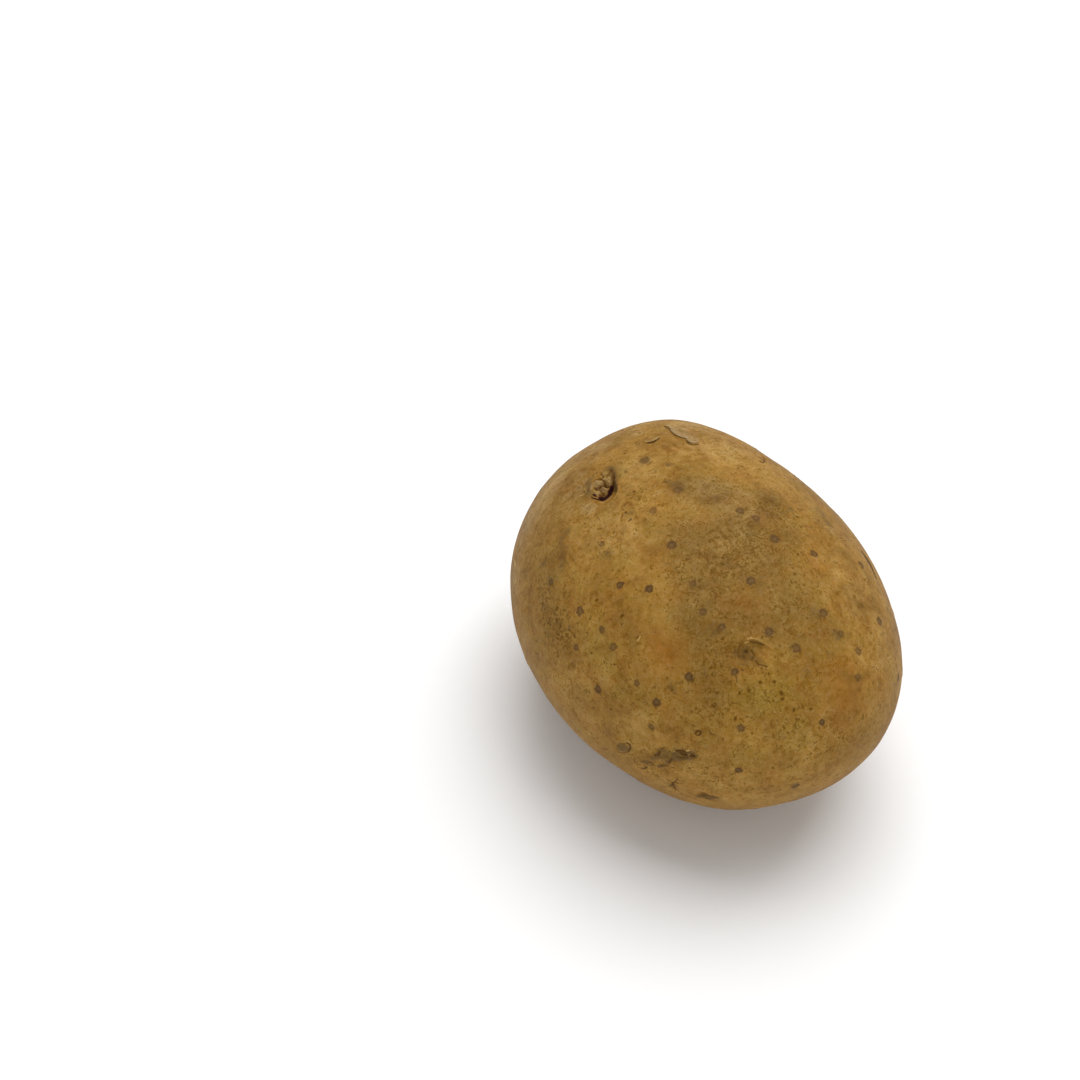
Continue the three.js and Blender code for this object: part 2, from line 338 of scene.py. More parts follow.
# pores, the round spots all over the skin: pixels and strengths of those in the photograph, a
# rule for the rest
pores = {
    "seen": [
        (620, 585, 1), (649, 589, 1), (580, 611, 0.7), (602, 630, 0.6), (613, 647, 0.5),
        (598, 689, 0.9), (637, 683, 0.5), (657, 702, 0.9), (689, 677, 1), (672, 545, 0.9),
        (602, 544, 0.4), (703, 612, 0.6), (722, 627, 0.7), (769, 632, 0.8), (751, 581, 0.9),
        (693, 584, 0.5), (823, 613, 0.7), (879, 621, 0.7), (858, 651, 0.5), (796, 648, 0.7),
        (735, 672, 0.9), (822, 722, 1), (741, 728, 0.7), (652, 727, 0.5), (739, 770, 0.9),
        (551, 582, 0.6), (576, 647, 0.5), (740, 511, 0.7), (756, 518, 0.6), (775, 539, 0.8),
        (814, 554, 0.8), (653, 511, 0.3), (861, 565, 0.6), (795, 786, 0.7), (858, 677, 0.4),
        (841, 634, 0.4), (898, 677, 0.5), (645, 460, 0.4), (678, 490, 0.5),
    ],
    "radius": 0.74,       # mm
    "seenSizes": (0.8, 1.2),
    "farCount": 104,      # over the whole tuber, before those in the photograph are dropped
    "farSizes": (0.7, 1.2),
    "golden": 137.508,    # degrees of azimuth from one to the next
    "astray": (8, 4),     # degrees off the rule, in azimuth and elevation
    "height": 0.07,       # mm, of the rim round each pore
    "rim": (0.95, 0.3),   # the rim's crest and width, in radii
    "dip": (0.6, 0.5),    # the edge and softness of the sunk middle, in radii
    "dipDepth": 0.5,      # in heights of the rim
    "reach": 3,           # radii
    "seed": 11,
}


def poreList():
    # each pore's place, size and tone
    draw = random.Random(pores["seed"])
    found = [(seen((x, y)), draw.uniform(*pores["seenSizes"]), tone)
             for x, y, tone in pores["seen"]]
    aside, above = pores["astray"]
    for index in range(pores["farCount"]):
        azimuth = index * pores["golden"] + draw.uniform(-aside, aside)
        rise = 1 - (2 * index + 1) / pores["farCount"]
        elevation = math.degrees(math.asin(rise)) + draw.uniform(-above, above)
        place = onEllipsoid(azimuth, elevation)
        size, tone = draw.uniform(*pores["farSizes"]), draw.random()
        if not inPhoto(place):
            found.append((place, size, tone))
    return found


# drawn marks: kind, half width in mm, height in mm, strength, and a path of pixels
# in these drawings the darkest marks and the dark lines paint shade: in the scar's pocket, between
# its lumps, in cracks, creases and pits, and under lifted skin; the pale lines are papery edges
# with a painted highlight on brows, lips and ridges
stemScar = [
    ("holeShade", 0.24, -0.2, 0.6, [(592.6, 498), (597, 499.3), (602, 499.4)]),
    ("holeShade", 0.36, -0.2, 1, [(601, 499.2), (605, 498.6), (608.8, 495.8), (611.2, 491.5),
     (612, 488.6)]),
    ("holeShade", 0.3, -0.1, 0.9, [(594.6, 495.2)]),
    ("gapShade", 0.4, -0.2, 0.8, [(612.8, 487.5), (613.9, 483.5), (614.4, 479.5), (613.1, 475.2)]),
    ("cork", 1.05, 0.75, 0.9, [(600, 486.4), (602.4, 486.8)]),
    ("cork", 0.62, 0.6, 0.8, [(610, 484)]),
    ("cork", 0.5, 0.45, 0.9, [(602.8, 492.4), (607.2, 491.2)]),
    ("cork", 0.45, 0.45, 0.8, [(598.2, 493.6), (600, 496)]),
    ("cork", 0.4, 0.35, 0.8, [(604.6, 479), (607.6, 480.4), (610.6, 477.9)]),
    ("cork", 0.4, 0.25, 0.7, [(602, 475.8), (606.4, 473.6)]),
    ("cork", 0.4, 0.3, 0.7, [(592.2, 484.6), (591.2, 489.4)]),
    ("gapShade", 0.2, -0.4, 0.75, [(594.5, 481.6), (599, 479.4), (603.4, 481.4), (605.8, 485.4),
     (604.4, 488.2), (599, 489)]),
    ("gapShade", 0.18, -0.3, 0.6, [(595.6, 489.6), (600.4, 490.8), (602.4, 494.4)]),
    ("gapShade", 0.18, -0.2, 0.6, [(605.6, 487), (609.4, 487.4)]),
    ("gapShade", 0.26, -0.1, 0.8, [(600.4, 480.6)]),
    ("gapShade", 0.3, -0.1, 0.8, [(596, 489)]),
    ("gapShade", 0.3, -0.1, 0.7, [(604, 495.4), (600.4, 496.6)]),
    ("bark", 1.6, 0, 0.2, [(604, 486)]),
    ("bark", 0.6, 0.12, 0.5, [(590, 479), (586.4, 484)]),
    ("bark", 0.5, 0.1, 0.45, [(584.6, 491), (586.4, 497)]),
    ("bark", 0.45, 0.1, 0.45, [(578.8, 488)]),
    ("gapShade", 0.2, -0.1, 0.5, [(592.4, 476.2), (594.4, 474)]),
    ("gapShade", 0.2, -0.1, 0.5, [(588.6, 489), (587.6, 492)]),
    ("gapShade", 0.16, -0.1, 0.45, [(582.6, 484.6), (583, 487)]),
    ("gapShade", 0.3, -0.15, 0.6, [(611.2, 470), (613.4, 473.6)]),
    ("gapShade", 0.2, -0.2, 0.6, [(600.6, 473.8), (603.4, 477), (600.8, 478.8)]),
    ("gapShade", 0.2, -0.2, 0.55, [(606.6, 475.8), (609.4, 473.2), (610.2, 469.6)]),
    ("bark", 0.9, 0.1, 0.55, [(609.6, 468), (613, 475), (615, 484)]),
    ("gapShade", 0.2, -0.1, 0.4, [(603.6, 470), (606.4, 467)]),
    ("bark", 0.9, 0.1, 0.45, [(589.8, 484), (588.8, 492), (591, 497)]),
    ("paleSkinAndHighlight", 0.16, 0.1, 0.6, [(579.6, 496.4), (584.6, 494.6)]),
    ("paleSkinAndHighlight", 0.16, 0.1, 0.5, [(586.6, 506.6), (591, 503.6)]),
    ("paleSkinAndHighlight", 0.14, 0.1, 0.5, [(584.2, 489.4), (586.2, 491.8)]),
    ("paleSkinAndHighlight", 0.3, 0.1, 0.4, [(597, 482.4), (600, 481.8), (603, 483.2)]),
    ("paleSkinAndHighlight", 0.3, 0.15, 0.35, [(596.6, 501.6), (603, 502.6), (609.4, 500.4), (614, 495.6)]),
]

# a papery brow with a painted highlight, and painted shade in its crease and pits
frontEye = [
    ("paleSkinAndHighlight", 0.15, 0.16, 0.65, [(747.3, 639.4), (751.3, 637.9), (756.7, 639.4)]),
    ("paleSkinAndHighlight", 0.14, 0.14, 0.5, [(756.7, 639.4), (762, 642), (766.4, 644.6)]),
    ("paleSkinAndHighlight", 0.13, 0.1, 0.35, [(766.4, 644.6), (770, 647.4), (772.4, 650)]),
    ("paleSkinAndHighlight", 0.2, 0.12, 0.5, [(744.6, 643), (748.7, 641.8)]),
    ("paleSkinAndHighlight", 0.3, 0.1, 0.3, [(744, 646.4), (749, 645)]),
    ("gapShade", 0.3, -0.1, 0.4, [(741, 644), (738, 650), (739, 658)]),
    ("gapShade", 0.18, -0.2, 0.6, [(750, 641.6), (756.7, 642.4), (762.6, 644.6)]),
    ("gapShade", 0.16, -0.12, 0.4, [(739.6, 647.6), (741.6, 644.4), (744.6, 641)]),
    ("gapShade", 0.18, -0.15, 0.5, [(734.8, 646.8), (735.3, 652), (740, 653)]),
    ("gapShade", 0.12, -0.05, 0.35, [(717, 653.2), (725, 652.8), (734, 653.4)]),
    ("gapShade", 0.3, -0.3, 0.6, [(746.2, 651.4)]),
    ("gapShade", 0.4, -0.25, 0.4, [(744.2, 657.6)]),
    ("rust", 0.26, 0.06, 0.7, [(741.4, 655.4), (744.6, 654), (747.2, 656.8), (745.6, 660.6),
     (741.8, 660)]),
    ("paleSkinAndHighlight", 0.4, 0.1, 0.25, [(746.6, 645.6), (742.6, 650.6)]),
    ("paleSkinAndHighlight", 0.26, 0.08, 0.3, [(743.8, 657.4)]),
    ("gapShade", 0.2, -0.2, 0.55, [(751.4, 650.6), (754, 655.6), (751.6, 660.4)]),
    ("gapShade", 0.2, -0.15, 0.55, [(756, 661), (757.6, 664.4), (762, 665.2), (766.8, 666.7)]),
    ("gapShade", 0.16, -0.1, 0.4, [(755.6, 663.4), (756.4, 667)]),
    ("gapShade", 0.2, -0.15, 0.35, [(741.4, 650.4), (742.4, 646.6), (747, 646.4)]),
    ("bark", 0.9, 0, 0.45, [(743.6, 650), (744.4, 658)]),
    ("bark", 1.3, 0, 0.3, [(740, 650), (748, 648), (750, 660), (742, 662)]),
    ("paleSkinAndHighlight", 0.6, 0.16, 0.28, [(757.4, 649), (760, 655), (764, 660)]),
    ("gapShade", 0.2, -0.1, 0.6, [(741.6, 669.6), (743, 670.4)]),
    ("gapShade", 0.16, -0.08, 0.55, [(736.2, 676.6), (736.8, 682.4)]),
    ("gapShade", 0.16, -0.08, 0.5, [(729.4, 667), (731.4, 669.4)]),
]

lowScab = [
    ("bark", 0.7, 0.22, 1, [(676.4, 752.4), (682, 753.2), (689, 753.4), (693.6, 755)]),
    ("bark", 0.55, 0.15, 0.8, [(667.6, 762.4), (673, 758.6), (680, 758.6)]),
    ("bark", 0.5, 0.1, 0.6, [(659, 766.4), (666.6, 765)]),
    ("gapShade", 0.3, -0.15, 1, [(680.8, 752.4), (683.6, 754.6), (686.6, 754.2)]),
    ("gapShade", 0.26, -0.15, 1, [(690.8, 755.2), (693.8, 756)]),
    ("bark", 0.9, 0.15, 0.8, [(674, 755), (682, 757), (690, 756)]),
    ("bark", 0.7, 0.1, 0.6, [(652, 758), (660, 757), (668, 757)]),
    ("gapShade", 0.2, -0.15, 0.8, [(676, 750.8), (681, 750.4), (685, 752)]),
    ("gapShade", 0.2, -0.1, 0.7, [(687.4, 757), (682.6, 757.6), (677.6, 756)]),
    ("gapShade", 0.22, -0.1, 0.7, [(669.4, 762.4), (671.6, 758.8)]),
    ("gapShade", 0.16, -0.1, 0.5, [(674.6, 761.6), (680.4, 761), (684.6, 758.8)]),
    ("paleSkinAndHighlight", 0.16, 0.2, 0.8, [(686.8, 750.4), (689.4, 749.8)]),
    ("paleSkinAndHighlight", 0.14, 0.15, 0.7, [(674.4, 751), (676, 750.4)]),
    ("paleSkinAndHighlight", 0.14, 0.15, 0.5, [(688.6, 754), (690.2, 753.4)]),
    ("bark", 0.55, 0.12, 0.7, [(657.4, 753.6), (662, 749.8), (665, 750.4)]),
    ("gapShade", 0.26, -0.12, 0.8, [(655, 755.4), (658.6, 754.4), (660, 751.6)]),
    ("gapShade", 0.2, -0.1, 0.55, [(661, 748.6), (664.6, 747.4)]),
    ("bark", 0.5, 0.06, 0.55, [(642, 762), (648, 761.4), (652.6, 763.8)]),
    ("gapShade", 0.26, -0.1, 0.75, [(641.4, 768.4), (644.4, 768.8), (646.6, 767)]),
    ("gapShade", 0.18, -0.1, 0.5, [(646.4, 763.4), (649.4, 762), (653.2, 764.4)]),
    ("gapShade", 0.14, -0.06, 0.45, [(640.4, 762.4), (643.4, 760.8)]),
    ("gapShade", 0.16, -0.06, 0.5, [(659.8, 766.2), (664, 765.4), (667.4, 765.8)]),
    ("bark", 0.45, 0, 0.35, [(691.6, 744), (700.4, 743.4)]),
]

healedWound = [
    ("bark", 0.9, -0.03, 0.9, [(619.6, 748), (625.4, 747.6)]),
    ("gapShade", 0.22, -0.14, 0.85, [(627, 743.2), (629.6, 744.4), (630.4, 747.6), (628.4, 751.6)]),
    ("gapShade", 0.16, -0.1, 0.65, [(628.4, 751.6), (622.4, 753), (617.4, 752)]),
    ("gapShade", 0.14, -0.06, 0.4, [(617.4, 752), (616.4, 747.6), (619.6, 743.6), (627, 743.2)]),
    ("gapShade", 0.16, -0.1, 0.55, [(627.4, 754), (632.4, 754.8), (635, 758), (634.3, 762.6)]),
    ("gapShade", 0.12, -0.05, 0.35, [(628.4, 756.4), (631.4, 759.4), (631.8, 762)]),
    ("gapShade", 0.18, -0.1, 0.5, [(602, 748.8), (607.6, 749.2)]),
    ("gapShade", 0.16, -0.05, 0.5, [(629.4, 740.2), (630.6, 741)]),
]

starCrack = [
    ("gapShade", 0.17, -0.2, 0.7, [(667, 779.6), (672.6, 782.6), (677.4, 783)]),
    ("gapShade", 0.2, -0.2, 0.8, [(672.2, 783), (673.6, 786.6), (675, 789.4)]),
    ("gapShade", 0.17, -0.15, 0.65, [(677.6, 778.4), (674.2, 782.6), (669.6, 787)]),
    ("gapShade", 0.17, -0.12, 0.6, [(674.4, 786), (678.4, 791)]),
    ("gapShade", 0.14, -0.1, 0.5, [(659.4, 787.8), (664, 786.8), (668.6, 787.4)]),
    ("bark", 0.6, 0, 0.35, [(670, 786), (676, 786)]),
]

lensPit = [
    ("bark", 0.75, 0, 0.7, [(699, 796.4), (708, 797), (716, 797.4)]),
    ("gapShade", 0.18, 0, 0.6, [(702.6, 796), (707.4, 794.9), (713.6, 796.4)]),
    ("gapShade", 0.2, 0, 0.6, [(705.6, 798.6), (710, 799.2), (714.6, 798.2)]),
    ("bark", 0.3, 0.02, 0.6, [(706.6, 797), (709.4, 797.2)]),
]

twinPits = [
    ("gapShade", 0.2, -0.2, 0.85, [(695.2, 733.8), (696, 731.6), (698.6, 730.8), (701, 732.4),
     (699.4, 735)]),
    ("gapShade", 0.2, -0.1, 0.6, [(696.6, 735.4), (699.6, 735.6)]),
    ("rust", 0.4, 0, 0.8, [(701.6, 730.4), (704.4, 728.6), (706.8, 728.4)]),
    ("gapShade", 0.2, -0.1, 0.55, [(709.4, 732.2), (711.6, 734.6), (713.8, 734.8)]),
]

# the dark and rust-brown lines along the flakes' free edges paint the shadow under the lifted skin
topEdges = [
    ("gapShade", 0.16, -0.2, 0.85, [(648, 442.8), (652, 442.6), (655, 441), (658.8, 438)]),
    ("gapShade", 0.12, -0.1, 0.4, [(637.4, 444.6), (642, 442.4), (648, 442.8)]),
    ("rust", 0.22, -0.05, 0.9, [(664.8, 426.6), (669.4, 429), (671.4, 433), (675.8, 437),
     (681, 439.4), (686, 440.8)]),
    ("gapShade", 0.18, -0.12, 0.8, [(664.6, 425.8), (667, 427.4), (669.6, 428.8)]),
    ("gapShade", 0.2, -0.15, 0.9, [(686.6, 441.6), (689.4, 443.8), (694, 444.8), (698, 443.8)]),
    ("rust", 0.55, 0.08, 0.6, [(649, 440.4), (655, 437.6), (660, 434)]),
    ("rust", 0.3, 0.06, 0.6, [(616.6, 438), (622.6, 436), (630.6, 433.4), (635.4, 432.6)]),
    ("gapShade", 0.12, -0.08, 0.4, [(658.6, 431.4), (662.4, 429.6), (666, 428.4)]),
    ("rust", 0.3, 0, 0.5, [(632, 428.6), (645, 425.4), (656, 424)]),
    ("rust", 0.35, 0, 0.45, [(609, 447), (618, 443.6), (626, 443)]),
    ("bark", 0.4, -0.05, 0.6, [(624.4, 453.4)]),
    ("bark", 0.8, -0.05, 0.45, [(641, 461), (646, 462.6)]),
    ("bark", 0.8, -0.05, 0.35, [(666, 464), (673, 464.4)]),
    ("gapShade", 0.22, -0.05, 0.5, [(624.4, 452.8), (625.4, 453.6)]),
]

nicks = [
    ("rust", 0.6, 0, 0.8, [(760, 457.6), (764, 461)]),
    ("gapShade", 0.2, -0.2, 0.6, [(759.2, 461.4), (763.5, 462.5), (765, 459.3), (763, 456.4)]),
    ("rust", 0.6, 0, 0.7, [(624.4, 505), (627, 502.4), (631.4, 504.6)]),
    ("gapShade", 0.16, -0.05, 0.45, [(624.2, 506), (626.4, 502.8), (630.4, 502.6), (632, 505.4)]),
    ("gapShade", 0.3, -0.2, 0.85, [(625.6, 512.4)]),
    ("rust", 0.26, -0.05, 0.8, [(622.6, 513), (621, 521)]),
    ("gapShade", 0.24, -0.06, 0.65, [(628.6, 521.2), (631, 519)]),
    ("rust", 0.45, -0.05, 0.9, [(636.2, 517)]),
    ("gapShade", 0.26, -0.08, 0.7, [(584.6, 523.6)]),
    ("gapShade", 0.2, -0.08, 0.6, [(598, 529), (601.4, 528.6)]),
    ("gapShade", 0.18, -0.06, 0.45, [(593.6, 517.4), (595.6, 513.6), (599.4, 520)]),
    ("gapShade", 0.3, -0.1, 0.8, [(633.7, 491.4)]),
    ("rust", 0.7, 0.04, 0.4, [(827, 508), (833, 516)]),
    ("paleSkinAndHighlight", 0.2, 0.08, 0.5, [(824.6, 527), (828, 527.4)]),
    ("paleSkinAndHighlight", 0.12, 0.08, 0.5, [(838.6, 540.4), (845.6, 539.4)]),
    ("gapShade", 0.1, -0.06, 0.4, [(838.8, 541.4), (845.8, 540.6)]),
    ("paleSkinAndHighlight", 0.15, 0.06, 0.7, [(637.5, 641), (640.4, 636.6)]),
    ("paleSkinAndHighlight", 0.12, 0.05, 0.55, [(635.4, 637.4), (639.4, 634.6)]),
    ("gapShade", 0.16, -0.08, 0.5, [(636.4, 638.6), (638.2, 635.6)]),
    ("paleSkinAndHighlight", 0.3, 0.08, 0.6, [(514, 559), (516, 566)]),
    ("gapShade", 0.12, -0.05, 0.35, [(740, 473), (748, 474), (753, 479)]),
    ("gapShade", 0.12, -0.05, 0.35, [(741, 718.6), (750, 716.8), (760, 717.6)]),
    ("gapShade", 0.1, -0.05, 0.3, [(752, 723.4), (762, 722.4), (768, 724)]),
    # painted shadow under a lifted skin edge on the right rim
    ("gapShade", 0.4, -0.15, 1, [(862.8, 553), (866.7, 557.6), (870.6, 564), (874, 572.4),
     (876, 577)]),
    ("holeShade", 0.26, -0.1, 0.9, [(865, 557), (869, 563), (872.4, 570)]),
]

# specks that stand out: pixels, and how dark
specks = {
    "seen": [
        (714, 706, 0.9), (740, 693, 0.9), (768.7, 673.6, 1), (760.3, 682.3, 0.9),
        (774.3, 681.6, 0.9), (781.3, 693, 1), (782.4, 699, 1), (794, 710, 0.9),
        (749.3, 691, 0.7), (735.3, 718.7, 0.8), (802.7, 706.7, 0.6), (781, 600, 0.7),
        (743, 589, 0.6), (721.3, 666, 0.7), (762, 783, 0.7), (722.7, 638.7, 0.7),
        (730.7, 633.3, 0.6), (707.3, 640.3, 0.6), (704, 664, 0.6), (714, 660, 0.5),
        (712, 682.3, 0.5), (792.4, 686, 0.5), (762, 637.3, 0.6), (745.3, 624, 0.5),
        (778, 671.3, 0.5), (792.3, 700, 0.5), (728.7, 709.3, 0.5), (752, 733.3, 0.6),
        (614.4, 664.4, 1), (596.7, 600, 0.9), (622, 616, 0.9), (604, 613.3, 0.6),
        (590, 618.7, 0.6), (595.3, 642.7, 0.6), (572, 663.3, 0.6), (582.7, 662.7, 0.5),
        (557.3, 607.3, 0.9), (543, 603.6, 0.8), (548, 623, 0.9), (557, 621, 0.9),
        (560.4, 626, 0.9), (543, 618, 0.7), (545, 633, 0.6), (562, 637, 0.7), (574.7, 636, 0.7),
        (539, 597, 0.7), (557.4, 656, 0.6), (591.4, 653, 0.6), (536, 653, 0.6), (533, 662, 0.5),
        (637.4, 637, 0.7), (638.6, 655, 0.5), (555, 614, 0.7), (550, 628, 0.6), (553, 640, 0.6),
        (565, 629, 0.5), (752, 562, 0.8), (757, 573, 0.6), (727, 557, 0.8), (723, 558, 0.8),
        (722, 564, 0.7), (795, 574, 0.9), (793, 568, 0.7), (700, 554, 0.7), (699, 558, 0.5),
        (798, 554, 0.8), (780, 549, 0.5), (769, 533, 0.5), (801, 527, 0.7), (781, 519, 0.6),
        (779, 505, 0.5), (798, 517, 0.7), (707, 534, 0.5), (772, 541, 0.5), (751, 543, 0.5),
        (573, 560, 0.5), (584, 604, 0.5), (597, 574, 0.5), (746, 617, 0.5), (752, 628, 0.5),
        (688, 746, 0.5), (705.9, 767.7, 0.6), (689.6, 768.1, 0.7), (760, 773, 0.6),
        (709, 781, 0.6), (714, 781.4, 0.6), (722, 781, 0.5), (827, 747, 0.5), (843, 738, 0.6),
        (634, 709, 0.5), (681, 717, 0.6), (611, 709, 0.6), (593, 708, 0.5), (579, 705, 0.5),
        (672, 690, 0.7), (675, 693, 0.5), (817, 675, 0.6), (775, 657, 0.5), (782, 655, 0.5),
        (834, 630, 0.5), (858, 679, 0.6), (811, 709, 0.7), (861, 604, 0.6), (870, 595, 0.5),
        (864, 588, 0.6), (812, 572, 0.5), (752, 704, 0.5), (764, 713, 0.5), (800, 760, 0.5),
        (774, 752, 0.5), (732, 748, 0.5), (718, 742, 0.5), (667, 678, 0.6), (668, 688, 0.6),
        (647, 703, 0.4), (619, 571, 0.5), (633, 585, 0.4), (668, 560, 0.4), (695, 600, 0.5),
        (712, 596, 0.4), (700, 505, 0.4), (716, 518, 0.5), (729, 531, 0.5), (730, 498, 0.4),
        (690, 520, 0.4), (646, 500, 0.4), (636, 530, 0.5), (610, 556, 0.5), (590, 560, 0.4),
        (660, 471, 0.4), (705, 468, 0.4), (733, 462, 0.5), (584, 579, 0.5), (566, 592, 0.4),
        (622, 600, 0.4), (598, 757, 0.6), (655, 776, 0.6), (682, 794, 0.5), (736, 790, 0.5),
        (780, 790, 0.5), (815, 770, 0.5), (845, 760, 0.4), (868, 735, 0.5), (880, 706, 0.5),
        (888, 655, 0.5),
    ],
    "halfWidth": 0.25,    # mm
    "widths": (0.8, 1.35),
    "length": 0.42,       # mm, the longest
    "fewLong": 1.5,       # the higher, the fewer long ones
    "turns": 6.28,        # radians
    "bend": 0.25,         # of the length, to either side
    "depth": -0.03,       # mm
    "farCount": 330,
    "farStrengths": (0.35, 0.95),
    "seed": 6,
}

# soft patches of colour by kind: radius in mm, strength, and a pixel
patches = {
    "dust": [
        (5, 0.85, 716, 492), (5, 0.85, 746, 520), (4.5, 0.8, 718, 540), (4.5, 0.7, 738, 566),
        (4.5, 0.8, 772, 500), (4, 0.75, 682, 485), (4, 0.65, 790, 536), (4.5, 0.6, 796, 606),
        (4, 0.6, 826, 630), (5, 0.5, 552, 560), (5, 0.35, 546, 600), (4.5, 0.4, 556, 636),
        (3, 0.5, 826, 518), (5, 0.3, 580, 500), (4, 0.35, 582, 470), (3.5, 0.5, 735, 656),
        (4, 0.5, 716, 700), (4, 0.4, 614, 756), (4, 0.5, 770, 590), (4, 0.4, 806, 650),
        (3, 0.5, 700, 560), (4, 0.4, 660, 790), (5, 0.4, 860, 740), (3.5, 0.4, 580, 700),
        (5, 0.7, 694, 612), (5, 0.6, 704, 642), (5, 0.7, 706, 582), (5, 0.75, 682, 536),
        (4, 0.8, 690, 566), (4, 0.7, 770, 560), (4, 0.5, 706, 676), (4, 0.3, 664, 688),
        (5, 0.6, 720, 610), (4, 0.6, 752, 620), (5, 0.6, 760, 540), (4, 0.6, 780, 630),
        (3, 0.5, 834, 718), (3, 0.5, 612, 472), (3, 0.4, 584, 492), (4, 0.15, 640, 690),
        (5, 0.4, 806, 584),
    ],
    "gold": [
        (6, 0.8, 640, 470), (6, 0.7, 700, 448), (4, 0.3, 726, 462), (5, 0.4, 830, 560),
        (6, 0.8, 856, 600), (5, 0.3, 880, 650), (6, 0.8, 610, 530), (6, 0.5, 640, 545),
        (5, 0.4, 580, 540), (5, 0.5, 775, 487), (5, 0.4, 600, 690), (5, 0.7, 636, 722),
        (5, 0.4, 830, 710), (5, 0.4, 730, 780), (5, 0.4, 800, 740), (5, 0.4, 690, 765),
        (5, 0.4, 560, 670),
    ],
    "warm": [
        (6, 0.8, 674, 652), (4, 0.8, 742, 600), (5, 0.75, 850, 688), (4, 0.9, 834, 716),
        (4, 0.4, 690, 540), (4, 0.5, 612, 596), (4, 0.5, 812, 545), (4, 0.5, 822, 575),
        (5, 0.5, 655, 560), (4, 0.5, 745, 478), (3.5, 0.5, 568, 604), (3, 0.5, 715, 640),
        (4, 0.5, 836, 660), (3, 0.4, 765, 780), (3.5, 0.4, 720, 745),
    ],
    "olive": [
        (6, 0.8, 778, 690), (5, 0.6, 740, 706), (6, 0.5, 636, 708), (5, 0.6, 600, 650),
        (5, 0.7, 798, 738), (4, 0.5, 700, 735), (4, 0.5, 630, 745), (4, 0.5, 660, 462),
        (4, 0.5, 750, 760), (4, 0.5, 625, 560), (4, 0.4, 690, 470),
    ],
    # pale dusty skin; the patches along the rims also paint the sheen there
    "buff": [
        (5, 0.8, 530, 520), (5, 0.7, 556, 484), (5, 0.6, 596, 450), (5, 0.6, 690, 426),
        (5, 0.5, 516, 580), (3.5, 0.6, 577, 490), (6, 0.4, 720, 446), (4, 0.4, 524, 640),
        (4, 0.4, 800, 478), (3, 0.5, 570, 512), (4, 0.2, 876, 560),
    ],
    "smut": [
        (2, 0.75, 681, 487), (1.4, 0.7, 672, 484), (1.2, 0.6, 757, 523), (1.6, 0.7, 706, 487),
        (1.5, 0.7, 716, 499), (2, 0.7, 704, 500), (2, 0.6, 725, 491), (1.8, 0.8, 770, 500),
        (1.6, 0.7, 776, 516), (1.4, 0.7, 790, 510), (1.6, 0.6, 762, 510), (1.5, 0.8, 774, 537),
        (2, 0.5, 731, 523), (1.6, 0.6, 748, 534), (2, 0.6, 730, 562), (1.6, 0.6, 712, 550),
        (2, 0.5, 745, 575), (1.8, 0.6, 758, 586), (1.8, 0.5, 559, 545), (1.5, 0.8, 566, 533),
        (1.6, 0.8, 563, 554), (1.8, 0.6, 543, 563), (1.8, 0.7, 551, 581), (1.6, 0.7, 545, 608),
        (2, 0.45, 557, 621), (1.8, 0.5, 568, 627), (1.6, 0.5, 548, 636), (1.5, 0.5, 563, 567),
        (1.8, 0.5, 797, 640), (1.8, 0.6, 815, 612), (2, 0.5, 785, 613), (1.5, 0.6, 838, 635),
        (1.6, 0.7, 631, 512), (1.4, 0.6, 608, 554), (1.6, 0.7, 820, 511), (1.5, 0.7, 827, 523),
        (1.6, 0.7, 717, 630), (1.6, 0.6, 705, 611), (1.6, 0.5, 692, 584), (1.5, 0.7, 671, 688),
        (2, 0.6, 743, 655), (1.5, 0.5, 682, 697), (1.8, 0.7, 612, 470), (1.5, 0.7, 617, 478),
        (1.5, 0.6, 588, 484), (2, 0.8, 688, 756), (1.6, 0.7, 665, 756), (1.5, 0.6, 650, 762),
        (1.4, 0.6, 672, 785), (1.5, 0.5, 797, 785), (1.6, 0.6, 706, 796), (1.8, 0.5, 706, 676),
        (1.6, 0.6, 645, 462), (1.4, 0.5, 670, 464), (1.8, 0.5, 830, 655), (2, 0.4, 806, 672),
        (1.8, 0.4, 617, 757),
    ],
    "dry": [
        (5, 0.22, 688, 488), (6, 0.24, 718, 500), (6, 0.2, 756, 512), (5, 0.15, 732, 540),
        (5, 0.2, 544, 520), (2.5, 0.35, 582, 474), (2, 0.35, 590, 506), (3.5, 0.4, 574, 492),
        (3, 0.3, 588, 510), (1.6, 0.4, 832, 531), (1.6, 0.4, 836, 512), (2, 0.3, 520, 545),
        (2, 0.4, 636, 433), (2, 0.3, 608, 447), (1.5, 0.4, 512, 575),
    ],
    "grain": [
        (4.5, 1, 554, 616), (3, 0.8, 562, 640), (4, 0.8, 714, 702), (3, 0.7, 752, 545),
        (4, 0.8, 776, 512), (3, 0.6, 640, 496), (4, 0.6, 768, 692), (4, 0.7, 728, 656),
        (3, 0.6, 604, 545), (4, 0.7, 650, 766), (4, 0.6, 790, 720), (3, 0.6, 706, 776),
        (3, 0.6, 540, 590), (4, 0.5, 730, 560), (3, 0.5, 800, 560), (3, 0.5, 820, 528),
        (4, 0.4, 620, 690), (4, 0.4, 840, 740),
    ],
    "plain": [
        (4, 0.8, 650, 620), (4, 0.7, 674, 660), (4, 0.6, 660, 455), (4, 0.6, 720, 470),
        (4, 0.7, 850, 690), (4, 0.5, 630, 720), (4, 0.5, 600, 570), (5, 0.6, 640, 560),
        (3, 0.5, 792, 672),
    ],
}

